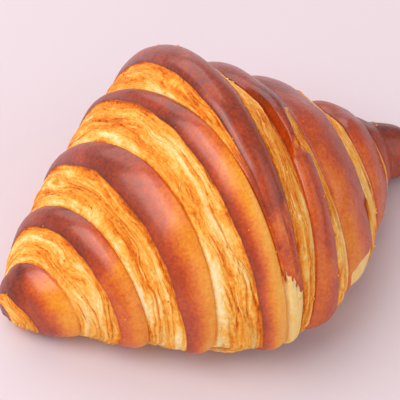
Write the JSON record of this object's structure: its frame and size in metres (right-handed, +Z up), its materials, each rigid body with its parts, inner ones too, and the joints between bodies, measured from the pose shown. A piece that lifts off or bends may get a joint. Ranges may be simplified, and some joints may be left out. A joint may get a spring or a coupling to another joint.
{
  "type": "croissant",
  "caption": "Large baked croissant of rolled laminated dough, spindle shaped, with stepped helical wraps, flaky cut edges and tapering tips.",
  "frame": {"origin": "on the plane that the croissant rests on, under the middle of its box", "axes": "+X from the blunter tip to the longer tip, along the roll, +Y to the back, away from the tongue's end, +Z up"},
  "size_m": [0.152, 0.1114, 0.0708],
  "materials": {
    "baked_dough": "egg-washed crust, red-brown to golden, glossy and finely blistered, with paler yellow layered cut faces"
  },
  "bodies": {
    "root": {"croissant": "baked_dough"}
  },
  "joints": []
}
